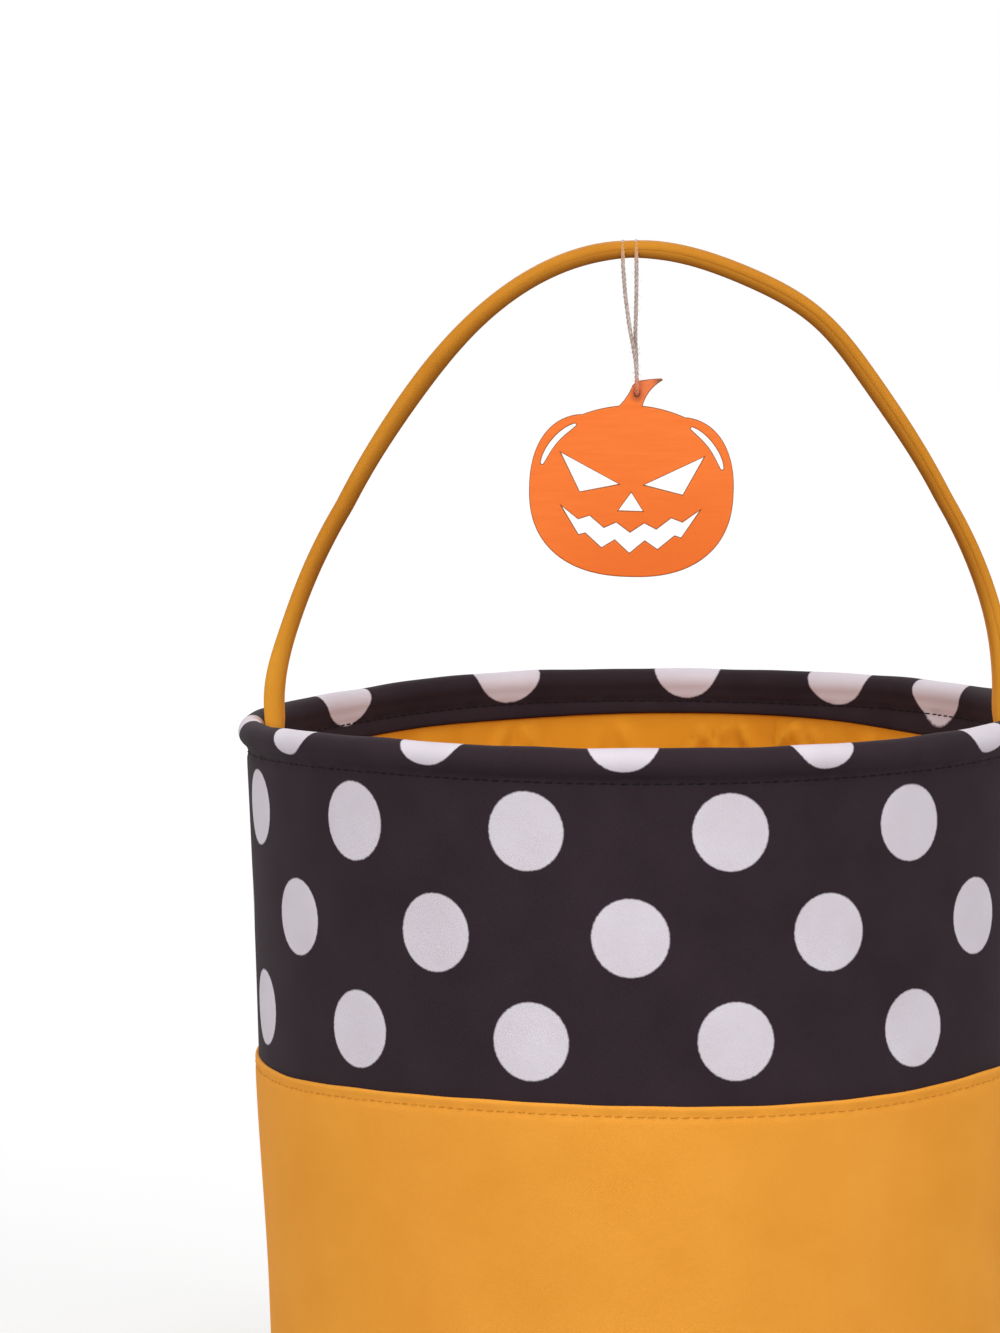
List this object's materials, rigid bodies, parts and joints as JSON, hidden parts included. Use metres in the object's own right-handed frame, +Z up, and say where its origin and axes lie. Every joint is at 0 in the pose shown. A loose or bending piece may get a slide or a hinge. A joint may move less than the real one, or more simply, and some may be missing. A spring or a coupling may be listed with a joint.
{
  "type": "trick-or-treat bag",
  "caption": "Round fabric trick-or-treat bucket with a dotted upper wall, plain lower wall, rolled rim, stiff strap handle and a hanging plywood pumpkin tag.",
  "frame": {"origin": "centre of the base on the floor", "axes": "+Z up, -Y to the front where the tag hangs, +X to the right seen from the front"},
  "size_m": [0.2478, 0.2478, 0.3746],
  "materials": {
    "gold_cloth": "matte plain weave",
    "printed_cloth": "matte plain weave, printed with pale dots",
    "lining_cloth": "matte plain weave",
    "strap_cloth": "matte plain weave",
    "foam": "matte",
    "greyboard": "matte",
    "spring_steel": "satin",
    "plastic_strip": "matte",
    "jute": "matte",
    "painted_plywood": "satin paint, cut edges brown"
  },
  "bodies": {
    "bag": {"lower_panel": "gold_cloth", "upper_panel": "printed_cloth", "base_panel": "gold_cloth", "base_board": "greyboard", "wall_stiffener": "foam", "lining_wall": "lining_cloth", "lining_base": "lining_cloth", "rim_hoop": "spring_steel", "hoop_ferrule": "spring_steel", "hoop_sleeve": "foam", "handle_tab_left": "strap_cloth", "handle_tab_right": "strap_cloth"},
    "handle": {"handle_strap": "strap_cloth", "handle_core": "plastic_strip", "twine_hitch": "jute"},
    "twine": {"twine_drop": "jute"},
    "tag": {"pumpkin_tag": "painted_plywood"}
  },
  "joints": [
    {"name": "handle_swing", "type": "hinge", "parent": "bag", "child": "handle", "pos_m": [0, 0, 0.23], "axis": [1, 0, 0], "range_deg": [-80, 80]},
    {"name": "twine_swing", "type": "hinge", "parent": "handle", "child": "twine", "pos_m": [-0.00125, -0.0108, 0.3658], "axis": [1, 0, 0], "range_deg": [-80, 80]},
    {"name": "tag_rock", "type": "hinge", "parent": "twine", "child": "tag", "pos_m": [0.0005, -0.0108, 0.3267], "axis": [0, 1, 0], "range_deg": [-35, 35]}
  ]
}
